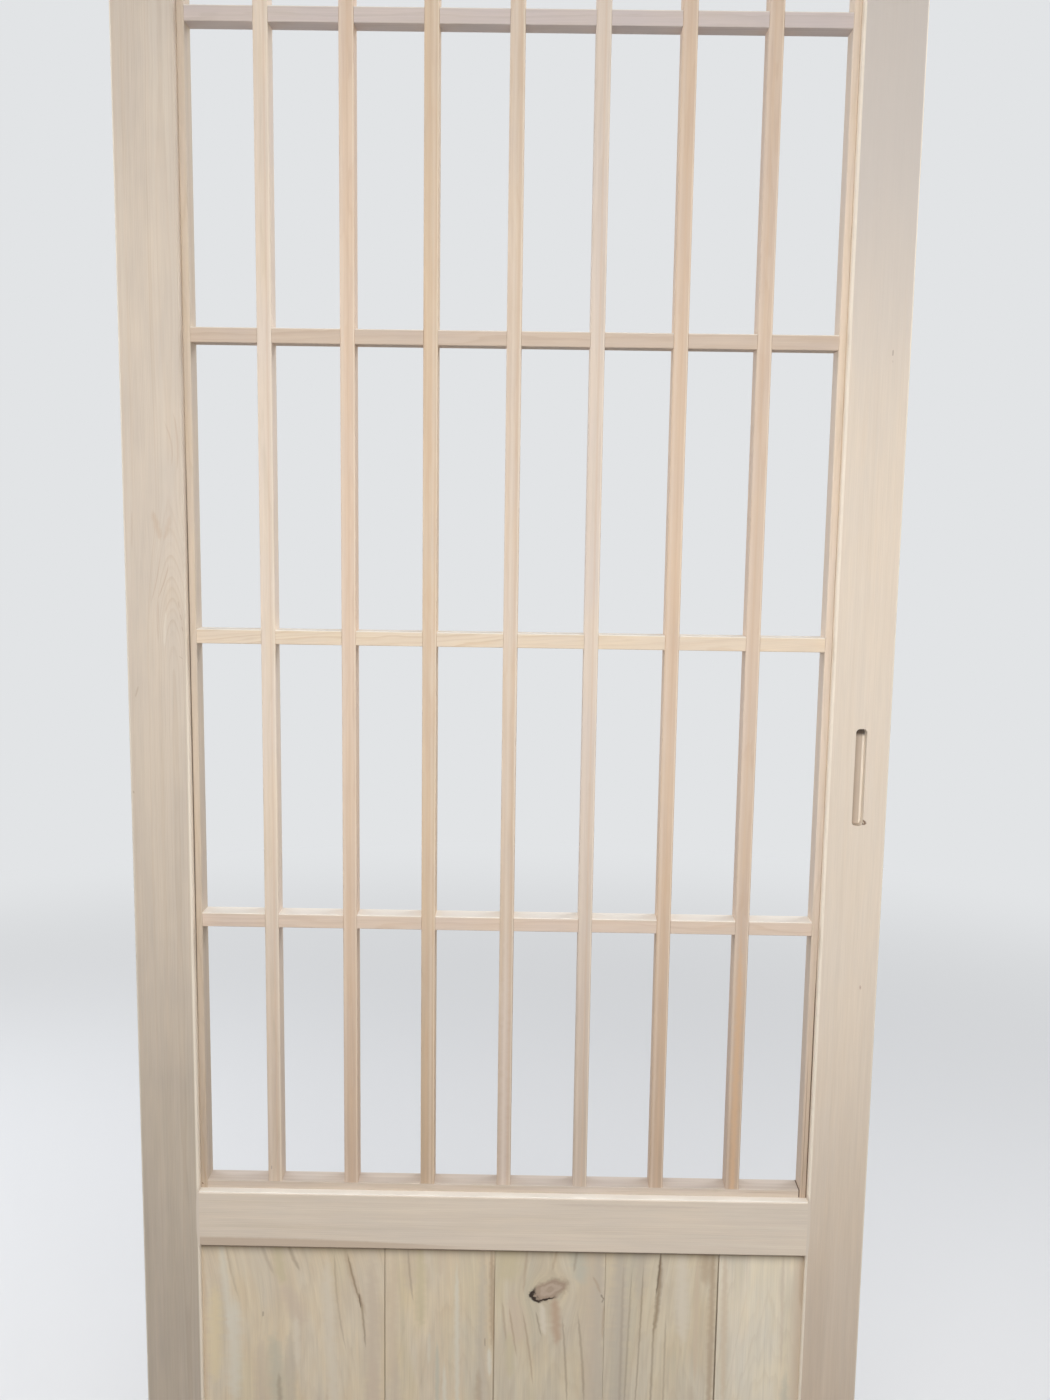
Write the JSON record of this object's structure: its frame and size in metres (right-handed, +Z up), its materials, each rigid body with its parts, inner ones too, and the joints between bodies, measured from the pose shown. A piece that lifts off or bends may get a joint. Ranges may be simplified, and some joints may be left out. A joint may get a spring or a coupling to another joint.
{
  "type": "shoji sliding screen",
  "caption": "Tall sliding screen leaf in raw softwood: open square-bar lattice over a mid rail, boarded panel below, finger recess in one stile and a tongue along the head.",
  "frame": {"origin": "middle of the bottom edge, half way through the thickness", "axes": "+Z up along the stiles, +X across the leaf towards the stile with the finger recess, -Y towards the side seen in the picture, where the lattice is set back"},
  "size_m": [0.82, 0.036, 2.1],
  "materials": {
    "stile_wood": "raw planed softwood, fine straight grain, pale cream",
    "rail_wood": "raw planed softwood, pale cream",
    "lattice_wood": "raw planed softwood, bars from pale cream to pinkish tan",
    "panel_wood": "raw planed boards, flowing grain with a knot and mineral streaks"
  },
  "bodies": {
    "root": {"left_stile": "stile_wood", "right_stile": "stile_wood", "top_rail": "rail_wood", "mid_rail": "rail_wood", "bottom_rail": "rail_wood", "lattice_frame_left": "lattice_wood", "lattice_frame_right": "lattice_wood", "lattice_frame_bottom": "lattice_wood", "lattice_frame_top": "lattice_wood", "upright_bar_1": "lattice_wood", "upright_bar_2": "lattice_wood", "upright_bar_3": "lattice_wood", "upright_bar_4": "lattice_wood", "upright_bar_5": "lattice_wood", "upright_bar_6": "lattice_wood", "upright_bar_7": "lattice_wood", "cross_bar_1": "lattice_wood", "cross_bar_2": "lattice_wood", "cross_bar_3": "lattice_wood", "cross_bar_4": "lattice_wood", "panel_board_1": "panel_wood", "panel_board_2": "panel_wood", "panel_board_3": "panel_wood", "panel_board_4": "panel_wood", "panel_board_5": "panel_wood"}
  },
  "joints": []
}
